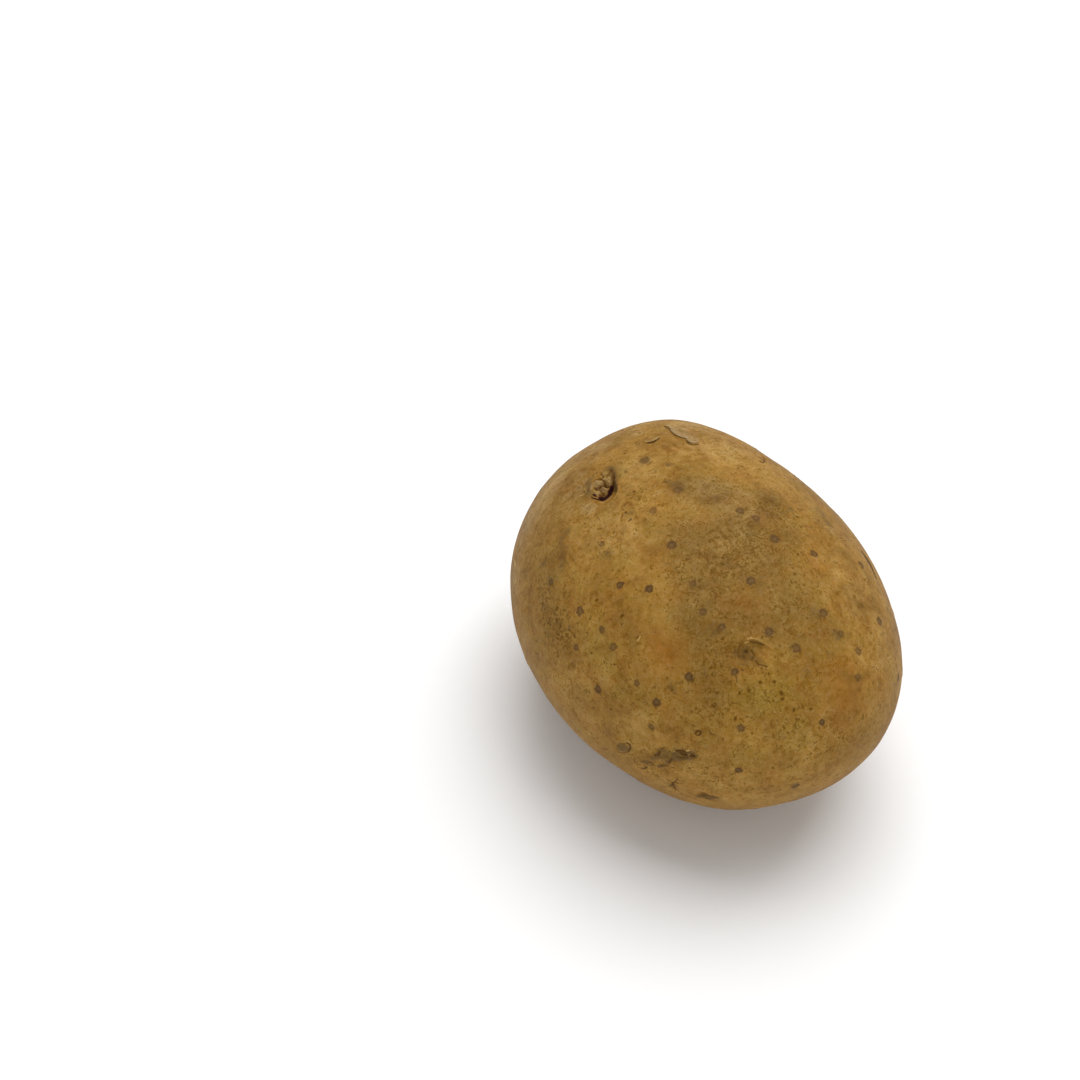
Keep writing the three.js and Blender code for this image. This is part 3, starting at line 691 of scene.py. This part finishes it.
# the far side: how many of each mark, drawn round seeded places
farSide = {
    "seed": 4,
    "patches": 130,
    "patchRadius": (3, 6.5),
    "patchStrength": (0.4, 0.9),
    "kinds": ["dust", "dust", "dust", "warm", "olive", "gold", "gold", "buff", "grain", "plain"],
    "smuts": 70,
    "smutRadius": (1.2, 2.2),
    "smutStrength": (0.4, 0.8),
    "scabs": [(140, 12, 1.3), (60, -30, 0.8), (-95, -52, 0.9), (178, -40, 0.7)],
    "cracks": [(100, 40, 1), (75, -8, 0.8), (160, 10, 1), (-150, -35, 0.9), (30, -35, 0.8),
               (122, -45, 1), (-175, 20, 0.7), (55, 22, 0.7)],
}

# an eye of size 1 drawn round its middle, with places in mm
# the pale lines are a papery brow with a painted highlight; the dark lines and spots paint the
# shade in its crease and pits
eyeDrawing = [
    ("paleSkinAndHighlight", 0.2, 0.3, 0.65, [(-1.2, 1.75), (0, 2.1), (1.4, 1.9), (2.4, 1.4)]),
    ("paleSkinAndHighlight", 0.14, 0.15, 0.5, [(2.4, 1.4), (3.2, 0.8)]),
    ("gapShade", 0.2, -0.2, 0.6, [(-0.9, 1.35), (0.3, 1.55), (1.6, 1.3), (2.2, 0.9)]),
    ("gapShade", 0.34, -0.35, 0.7, [(-0.7, -0.1)]),
    ("gapShade", 0.42, -0.3, 0.5, [(-1, -1.2)]),
    ("gapShade", 0.2, -0.2, 0.55, [(0.3, 0), (0.8, -0.9), (0.3, -1.7)]),
    ("gapShade", 0.2, -0.15, 0.5, [(1.1, -1.8), (1.5, -2.3), (3, -2.5)]),
    ("gapShade", 0.18, -0.15, 0.45, [(-2.8, 0.6), (-2.7, -0.4), (-1.9, -0.5)]),
    ("bark", 0.9, 0, 0.5, [(-0.9, 0.2), (-0.9, -1.4)]),
    ("bark", 1.4, 0, 0.3, [(-1.4, 0.2), (0.2, 0.4), (0.4, -1.8), (-1.4, -2)]),
    ("paleSkinAndHighlight", 0.6, 0.14, 0.28, [(1.6, 0.2), (2, -0.8), (2.7, -1.5)]),
]
# the darkest and the dark lines paint shade in its pits and cracks, the pale one a highlight on a
# ridge
scabDrawing = [
    ("bark", 0.7, 0.2, 1, [(-1.4, 0.3), (0, 0.1), (1.4, -0.2)]),
    ("bark", 0.5, 0.15, 0.8, [(-2.4, -1), (-1.2, -0.7), (0.4, -0.9)]),
    ("bark", 0.5, 0.1, 0.6, [(-3.4, 0.8), (-2.6, 1.2)]),
    ("holeShade", 0.22, -0.15, 0.8, [(-0.5, 0.2), (0.2, -0.2), (0.8, -0.1)]),
    ("gapShade", 0.2, -0.12, 0.7, [(-1.3, 0.7), (-0.2, 0.6), (0.6, 0.4)]),
    ("gapShade", 0.2, -0.1, 0.7, [(-2.3, -1.1), (-1.6, -0.6)]),
    ("paleSkinAndHighlight", 0.15, 0.18, 0.7, [(0.6, 0.6), (1, 0.7)]),
]
# the dark lines paint the shade in the cracks
crackDrawing = [
    ("gapShade", 0.16, -0.25, 0.75, [(-0.9, 0.5), (0, 0.1), (1, 0)]),
    ("gapShade", 0.18, -0.25, 0.75, [(0, 0.1), (0.3, -0.7), (0.7, -1.3)]),
    ("gapShade", 0.14, -0.15, 0.55, [(0.8, 0.9), (0, 0.1), (-0.7, -0.7)]),
    ("rust", 0.5, 0, 0.4, [(-0.5, 0.2), (0.6, -0.4)]),
]


def drawn(drawing, places):
    # a drawing's marks with their paths as places close enough together to paint
    marks = []
    for kind, width, height, strength, path in drawing:
        corners = places(path)
        line = [corners[0]]
        for start, end in zip(corners, corners[1:]):
            steps = max(1, round((end - start).length / (skin["stroke"] * mm)))
            line += [toEllipsoid(start.lerp(end, step / steps)) for step in range(1, steps + 1)]
        marks.append((kind, width, height, strength, line))
    return marks


def allMarks():
    marks = []
    for drawing in (stemScar, frontEye, lowScab, healedWound, starCrack, lensPit, twinPits,
                    topEdges, nicks):
        marks += drawn(drawing, lambda path: [seen(pixel) for pixel in path])
    draw = random.Random(farSide["seed"])
    spots = [(eyeDrawing, *eye) for eye in form["eyes"] if not inPhoto(onEllipsoid(*eye[:2]))]
    for drawing, kind in ((scabDrawing, "scabs"), (crackDrawing, "cracks")):
        spots += [(drawing, azimuth, elevation, draw.uniform(0, 360), size)
                  for azimuth, elevation, size in farSide[kind]]
    for drawing, azimuth, elevation, turn, size in spots:
        middle = onEllipsoid(azimuth, elevation)
        marks += drawn(drawing, lambda path: besides(middle, turn, size, path))
    return marks + speckMarks()


def randomPlace(draw):
    return onEllipsoid(draw.uniform(-180, 180), math.degrees(math.asin(draw.uniform(-1, 1))))


def speckMarks():
    draw = random.Random(specks["seed"])
    found = [(seen((x, y)), strength) for x, y, strength in specks["seen"]]
    for _ in range(specks["farCount"]):
        place, strength = randomPlace(draw), draw.uniform(*specks["farStrengths"])
        if not inPhoto(place):
            found.append((place, strength))
    marks = []
    for place, strength in found:
        length = specks["length"] * draw.uniform(0, 1) ** specks["fewLong"]
        turn, bend = draw.uniform(0, specks["turns"]), draw.uniform(-specks["bend"], specks["bend"])
        path = [(-length / 2, 0), (0, bend * length), (length / 2, 0)]
        width = specks["halfWidth"] * draw.uniform(*specks["widths"])
        marks += drawn([("speck", width, specks["depth"], strength, path)],
                       lambda path: besides(place, math.degrees(turn), 1, path))
    return marks


def allPatches():
    placed = [(kind, radius, strength, seen((x, y)))
              for kind, spots in patches.items() for radius, strength, x, y in spots]
    draw = random.Random(farSide["seed"])
    for _ in range(farSide["patches"]):
        place, kind = randomPlace(draw), draw.choice(farSide["kinds"])
        radius = draw.uniform(*farSide["patchRadius"])
        strength = draw.uniform(*farSide["patchStrength"])
        if not inPhoto(place):
            placed.append((kind, radius, strength, place))
    for _ in range(farSide["smuts"]):
        place = randomPlace(draw)
        radius = draw.uniform(*farSide["smutRadius"])
        strength = draw.uniform(*farSide["smutStrength"])
        if not inPhoto(place):
            placed.append(("smut", radius, strength, place))
    return placed


# the first two kinds paint shade in hollows, cracks, creases and under lifted skin; the sixth is
# pale papery skin with a painted highlight; the eleventh is pale dusty skin that also paints sheen
# along the rims
kinds = ["holeShade", "gapShade", "bark", "cork", "rust", "paleSkinAndHighlight", "speck",
         "dust", "warm", "olive", "buff", "gold", "dry", "smut", "grain", "plain"]


def noPores(count):
    # as far from a pore as the masks reach
    return {"pore": [float(pores["reach"])] * count, "poreTone": [0.5] * count}


def paint(mesh, found, marks):
    # every vertex's amount of each kind of mark, and its relief in mm
    count = len(mesh.verts)
    masks = {kind: [0.0] * count for kind in kinds}
    masks.update(noPores(count))
    places = [vertex.co.copy() for vertex in mesh.verts]
    near = treeOf(places)
    relief = largeRelief(places, near)
    for place, size, tone in found:
        radius = pores["radius"] * size * mm
        for _, index, distance in near.find_range(place, radius * pores["reach"]):
            away = distance / radius
            if away < masks["pore"][index]:
                masks["pore"][index] = away
                masks["poreTone"][index] = tone
                rim = bell(away - pores["rim"][0], pores["rim"][1])
                dip = pores["dipDepth"] * within(away, *pores["dip"])
                relief[index] += pores["height"] * (rim - dip)
    for kind, width, height, strength, line in marks:
        reached = {}
        for place in line:
            for _, index, distance in near.find_range(place, width * skin["spread"] * mm):
                reached[index] = min(distance, reached.get(index, 1))
        for index, distance in reached.items():
            amount = bell(distance, width * mm)
            masks[kind][index] = max(masks[kind][index], strength * amount)
            if kind in ("bark", "cork"):
                spot = places[index] / mm
                lumps = sum(share * noise.noise(spot / size) for size, share in skin["lumps"])
                amount *= skin["crust"] + lumps
            relief[index] += height * amount
    for kind, radius, strength, place in allPatches():
        for _, index, distance in near.find_range(place, radius * skin["spread"] * mm):
            amount = strength * bell(distance, radius * mm)
            masks[kind][index] = 1 - (1 - masks[kind][index]) * (1 - amount)
    return masks, relief


def makePiece(name, mesh, masks):
    for face in mesh.faces:
        face.smooth = True
    data = bpy.data.meshes.new(name)
    mesh.to_mesh(data)
    mesh.free()
    for kind, values in masks.items():
        data.attributes.new(kind, "FLOAT", "POINT").data.foreach_set("value", values)
    piece = bpy.data.objects.new(name, data)
    bpy.context.scene.collection.objects.link(piece)
    return piece


def makeSkin(mesh):
    found, marks = poreList(), allMarks()
    splitNear(mesh, [place for place, _, _ in found], *skin["pore"])
    splitNear(mesh, [place for mark in marks for place in mark[4]], *skin["mark"])
    print("pores", len(found), "marks", len(marks), "skin triangles", len(mesh.faces))
    masks, relief = paint(mesh, found, marks)
    for vertex, height in zip(mesh.verts, relief):
        vertex.co = raised(vertex.co, height)
    return makePiece("potatoSkin", mesh, masks)


# loose flakes of dry skin: the edge that holds and the free edge, as pixels, the free edge's
# lift in mm, and how dry it is
flakes = {
    "sheets": [
        ([(665.4, 424.2), (672, 423.4), (680, 424.8), (688, 428.4), (695, 433), (699.6, 438)],
         [(664.8, 425.4), (669.6, 427.4), (671, 431.6), (675.3, 435.6), (681.3, 438), (686, 439.2),
          (688, 442), (692, 443.6), (696.7, 443), (699.8, 440.4)], 0.22, 0.6),
        ([(645, 440.6), (650, 438), (656, 435.6), (659, 435)],
         [(646, 442.8), (650, 442.8), (653.4, 441.9), (656.8, 440), (659.2, 437.4)], 0.12, 0.1),
    ],
    "thickness": 0.05,    # mm
    "root": 0.06,         # mm, how deep the held edge lies
    "steps": (36, 8),     # along and across
    "waves": (1.2, 0.25), # their size in mm, and their share of the lift
    "curl": 0.7,          # below 1, the lift comes early
    "ends": 0.4,          # the lift's share that is left at the ends
    "buff": 0.8,          # how pale a flake is
}


def along(path, part):
    # the pixel at a part of a path's length, from 0 to 1
    lengths = [math.dist(start, end) for start, end in zip(path, path[1:])]
    wanted = part * sum(lengths)
    for start, end, length in zip(path, path[1:], lengths):
        if wanted <= length or end == path[-1]:
            t = min(wanted / length, 1)
            return Vector(start).lerp(Vector(end), t)
        wanted -= length


def makeFlakes():
    mesh = bmesh.new()
    dryness = mesh.verts.layers.float.new("dryness")
    for held, free, lift, dry in flakes["sheets"]:
        steps = flakes["steps"]
        sheet = bmesh.ops.create_grid(mesh, x_segments=steps[0], y_segments=steps[1], size=0.5)
        for vertex in sheet["verts"]:
            part, across = vertex.co.x + 0.5, vertex.co.y + 0.5
            place = seen(along(held, part).lerp(along(free, part), across))
            size, share = flakes["waves"]
            waves = share * noise.noise(place / (size * mm))
            arch = flakes["ends"] + (1 - flakes["ends"]) * math.sin(part * math.pi)
            bulge = across ** flakes["curl"] * (1 + waves) * arch
            height = -flakes["root"] + (lift + flakes["root"]) * bulge
            vertex[dryness] = across * dry
            vertex.co = raised(place, height)
    bmesh.ops.recalc_face_normals(mesh, faces=mesh.faces)
    bmesh.ops.solidify(mesh, geom=mesh.faces[:], thickness=flakes["thickness"] * mm)
    bmesh.ops.recalc_face_normals(mesh, faces=mesh.faces)
    bmesh.ops.triangulate(mesh, faces=mesh.faces)
    count = len(mesh.verts)
    masks = {kind: [0.0] * count for kind in kinds}
    masks.update(noPores(count), buff=[flakes["buff"]] * count,
                 dry=[vertex[dryness] for vertex in mesh.verts])
    return makePiece("looseSkin", mesh, masks)


class Term:
    # a number in a shader, which Python's operators turn into Math nodes
    def __init__(self, shader, socket):
        self.shader, self.socket = shader, socket

    def maths(self, operation, first, second):
        return self.shader.add("Math", {"operation": operation}, {0: first, 1: second})

    def __add__(self, other):
        return self.maths("ADD", self, other)

    def __sub__(self, other):
        return self.maths("SUBTRACT", self, other)

    def __rsub__(self, other):
        return self.maths("SUBTRACT", other, self)

    def __mul__(self, other):
        return self.maths("MULTIPLY", self, other)

    __radd__ = __add__
    __rmul__ = __mul__


class Shader:
    def __init__(self, name):
        self.material = bpy.data.materials.new(name)
        self.material.use_nodes = True
        self.tree = self.material.node_tree
        self.surface = self.tree.nodes["Principled BSDF"]
        self.place = self.add("TexCoord", {}, {}, "Object")

    def add(self, kind, settings, inputs, output=0):
        # a node of a kind, its settings first, then the values or links of its sockets
        node = self.tree.nodes.new("ShaderNode" + kind)
        for name, value in settings.items():
            setattr(node, name, value)
        for name, value in inputs.items():
            self.set(node.inputs[name], value)
        return Term(self, node.outputs[output])

    def set(self, socket, value):
        if isinstance(value, Term):
            self.tree.links.new(value.socket, socket)
        else:
            socket.default_value = value

    def dress(self, values):
        for name, value in values.items():
            self.set(self.surface.inputs[name], value)

    def noise(self, size, detail, roughness, distortion):
        # clouds about as wide as size in mm
        return self.add("TexNoise", {}, {"Vector": self.place, "Scale": 1 / (size * mm),
                                         "Detail": detail, "Roughness": roughness,
                                         "Distortion": distortion})

    def step(self, value, low, high):
        # 0 at low, 1 at high, smooth between
        return self.add("MapRange", {"interpolation_type": "SMOOTHSTEP"},
                        {"Value": value, "From Min": low, "From Max": high})

    def mask(self, name):
        return self.add("Attribute", {"attribute_name": name}, {}, "Fac")

    def mix(self, first, second, factor):
        # two colours
        return self.add("Mix", {"data_type": "RGBA"}, {0: factor, 6: first, 7: second}, 2)

    def shift(self, base, colour, amount):
        # adds an amount of a colour, which may be less than none
        scaled = self.add("VectorMath", {"operation": "SCALE"}, {0: colour, "Scale": amount})
        return self.add("VectorMath", {"operation": "ADD"}, {0: base, 1: scaled})


def colour(red, green, blue):
    # from the values that a picture program shows, 0 to 255
    return (red / 255, green / 255, blue / 255, 1)


# the skin's colours as a picture shows them in even light; the shader makes them linear last
tones = {
    "ground": colour(146, 109, 50),
    "warm": colour(144, 101, 43),
    "olive": colour(141, 109, 47),
    # pale dusty skin, and along the rims painted sheen as well
    "buff": colour(160, 129, 82),
    "gold": colour(159, 123, 66),
    "dry": colour(160, 135, 98),
    "smut": colour(105, 79, 38),
    "dust": colour(118, 89, 42),
    "speck": colour(88, 60, 8),
    "pore": colour(103, 78, 45),
    "poreRim": colour(76, 52, 25),
    "bark": colour(100, 77, 44),
    "cork": colour(156, 127, 84),
    "rust": colour(120, 82, 28),
    # pale papery edges with a painted highlight on brows, lips and ridges
    "paleSkinAndHighlight": colour(192, 157, 92),
    # painted shade in cracks, creases, pits, between crust lumps and under lifted skin
    "gapShade": colour(84, 56, 20),
    # painted shade deep in the scar's pocket, in pits and under a lifted skin edge
    "holeShade": colour(44, 14, 12),
}
# noises: size in mm, detail, roughness and distortion
noises = {
    "broad": (11, 3, 0.95, 0.3),
    "fine": (1.1, 3, 0.95, 0.4),
    "hue": (4.5, 4, 0.85, 0.5),
    "worms": (0.95, 1.5, 0.5, 1.8),
    "crumbs": (0.45, 1, 0.5, 0.8),
    "smudges": (1.9, 3, 0.75, 0.9),
}
# how strongly the skin is mottled, and towards which colours; flecks and dots are given as where
# in their noise they start and are full, and how dark they are
mottling = {
    "broad": 0.38,
    "broadColour": (1, 0.9, 0.6),
    "fine": 0.23,
    "fineColour": (0.9, 1, 1.5),
    "hue": 0.12,
    "hueColour": (0.5, -0.35, -0.3),
    "smudges": (0.5, 0.32),
    "smudgeColour": (-0.066, -0.063, -0.063),
    "calm": 0.5,            # how much less on plain skin, and how much more on dusty skin
    "lively": 0.7,
    "flecks": (0.6, 0.72, 0.56),
    "dots": (0.63, 0.76, 0.52),
    "grain": (0.1, -0.04, 0.025, 0.16),    # by grain, plain, dust and broad noise
}
# what covers the skin, in order: how far noise breaks up its edge, where its mask starts and is
# full, and how much of what lies under it is hidden
tints = [("warm", 1, 0.1, 0.9, 1), ("olive", 1, 0.1, 0.9, 1), ("gold", 1, 0.1, 0.9, 0.8),
         ("buff", 1, 0.1, 0.95, 0.85), ("dust", 1.3, 0.1, 0.9, 0.8), ("dry", 0.5, 0.1, 0.8, 1)]
stains = [("smut", 1, 0.25, 0.85, 0.8)]
crumbsOfDirt = [("speck", 0.5, 0.1, 0.75, 0.9)]
crusts = [("cork", 1, 0.1, 0.7, 0.85), ("rust", 1, 0.1, 0.8, 0.8), ("bark", 1, 0.1, 0.7, 0.8),
          ("paleSkinAndHighlight", 0.4, 0.12, 0.75, 1), ("gapShade", 0.4, 0.06, 0.75, 0.95), ("holeShade", 0, 0.15, 0.6, 1)]
# the noise that breaks them up: shares of broad or fine noise, and of smudges
fraying = {"tints": (1.2, 0.8), "stains": (1.2, 1.6), "crusts": (0.8, 0.5)}
# a pore's disc and darker ring: where they start and end in radii, and how dark they are at tone
# 0 and how much more at 1
poreLook = {
    "ragged": (0.8, 0.9, 1.3),             # by fine noise, smudges and crumbs
    "disc": (0.7, 1.3), "discTone": (0.25, 0.75),
    "ring": (0.3, 0.8), "ringTone": (0.15, 0.6),
}
surface = {
    "bump": 0.08,           # mm, for a height of 1
    "heights": (2, 0.8, 1.2, 1.5, -0.3),   # by broad noise, smudges, fine noise, bark and flecks
    "roughness": 0.66,
    "patchy": 0.2,          # how far smudges change the roughness
    "barkRoughness": 0.15,
    "even": {"Specular IOR Level": 0.12, "Sheen Weight": 0.03, "Sheen Roughness": 0.4},
    "gamma": 2.2,
}


def skinMaterial():
    shader = Shader("potatoSkin")
    step, mix, mask, shift = shader.step, shader.mix, shader.mask, shader.shift
    broad, fine, hue, worms, crumbs, smudges = (shader.noise(*part) for part in noises.values())
    covered = {}

    def cover(ground, layers, ragged):
        for kind, share, low, high, most in layers:
            covered[kind] = step(mask(kind) + ragged * share, low, high)
            ground = mix(ground, tones[kind], covered[kind] * most)
        return ground

    def frayed(clouds, group):
        share, smudged = fraying[group]
        return (clouds - 0.5) * share + (smudges - 0.5) * smudged

    ground = cover(tones["ground"], tints, frayed(broad, "tints"))
    ground = cover(ground, stains, frayed(fine, "stains"))
    # mottling, less of it where the skin is plain and more where it is dusty
    calm = 1 - mask("plain") * mottling["calm"]
    lively = calm + covered["dust"] * mottling["lively"]
    ground = shift(ground, mottling["broadColour"], (broad - 0.5) * mottling["broad"])
    ground = shift(ground, mottling["fineColour"], (fine - 0.5) * calm * mottling["fine"])
    ground = shift(ground, mottling["hueColour"], (hue - 0.5) * mottling["hue"])
    ground = shift(ground, mottling["smudgeColour"], step(smudges, *mottling["smudges"]) * lively)
    # dark flecks, thick where the grain mask says
    amounts = (mask("grain"), mask("plain"), covered["dust"], broad - 0.5)
    grain = sum(amount * share for amount, share in zip(amounts, mottling["grain"]))
    low, high, dark = mottling["flecks"]
    flecks = step(worms + grain, low, high)
    ground = mix(ground, tones["speck"], flecks * dark)
    low, high, dark = mottling["dots"]
    ground = mix(ground, tones["speck"], step(crumbs + grain, low, high) * dark)
    ground = cover(ground, crumbsOfDirt, fine - 0.5)
    # pores
    away = mask("pore")
    for part, share in zip((fine, smudges, crumbs), poreLook["ragged"]):
        away = away + (part - 0.5) * share
    tone = mask("poreTone")
    disc = 1 - step(away, *poreLook["disc"])
    ring = disc * step(away, *poreLook["ring"])
    for layer, kind, (least, more) in ((disc, "pore", poreLook["discTone"]),
                                       (ring, "poreRim", poreLook["ringTone"])):
        ground = mix(ground, tones[kind], layer * (least + tone * more))
    # crusts, pale edges with painted highlights, and painted shade in slots, cracks and pits
    ground = cover(ground, crusts, frayed(fine, "crusts"))
    bark = covered["bark"]
    parts = (broad, smudges, fine, bark * fine, flecks)
    height = sum(part * share for part, share in zip(parts, surface["heights"]))
    bump = shader.add("Bump", {}, {"Strength": 1.0, "Distance": surface["bump"] * mm,
                                   "Height": height})
    shader.dress({
        "Base Color": shader.add("Gamma", {}, {"Color": ground, "Gamma": surface["gamma"]}),
        "Roughness": (surface["roughness"] + (smudges - 0.5) * surface["patchy"]
                      + bark * surface["barkRoughness"]),
        "Normal": bump,
        **surface["even"],
    })
    return shader.material


floorLook = {
    "size": 3,              # metres from its middle to its edge
    "surface": {"Base Color": (0.9, 0.9, 0.9, 1), "Roughness": 0.9, "Specular IOR Level": 0},
}


def makeStage():
    mesh = bmesh.new()
    bmesh.ops.create_grid(mesh, x_segments=1, y_segments=1, size=floorLook["size"])
    data = bpy.data.meshes.new("floor")
    mesh.to_mesh(data)
    mesh.free()
    floor = bpy.data.objects.new("floor", data)
    floor.location.z = cadBounds[0][2]
    bpy.context.scene.collection.objects.link(floor)
    shader = Shader("paleFloor")
    shader.dress(floorLook["surface"])
    data.materials.append(shader.material)


# soft light: an even surround, and panels as watts, metres across, and where they hang
studio = {
    "surround": 0.42,
    "panels": [(9.8, 0.9, (-0.15, 0.25, 0.95)), (2, 0.8, (0.7, -0.5, 0.35))],
}


def makeLight():
    world = bpy.data.worlds.new("studio")
    world.use_nodes = True
    background = world.node_tree.nodes["Background"]
    background.inputs["Color"].default_value = (1, 1, 1, 1)
    background.inputs["Strength"].default_value = studio["surround"]
    bpy.context.scene.world = world
    for watts, size, place in studio["panels"]:
        panel = bpy.data.objects.new("panel", bpy.data.lights.new("panel", "AREA"))
        panel.data.energy = watts
        panel.data.size = size
        panel.location = place
        panel.rotation_mode = "QUATERNION"
        panel.rotation_quaternion = Vector(place).to_track_quat("Z", "Y")
        bpy.context.scene.collection.objects.link(panel)
    bpy.context.scene.view_settings.view_transform = "Standard"


material = skinMaterial()
potato, looseSkin = makeSkin(net), makeFlakes()
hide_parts("tuber")
for piece in (potato, looseSkin):
    piece.data.materials.append(material)
    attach(piece, "root")
print("skin and flakes made")
makeStage()
makeLight()
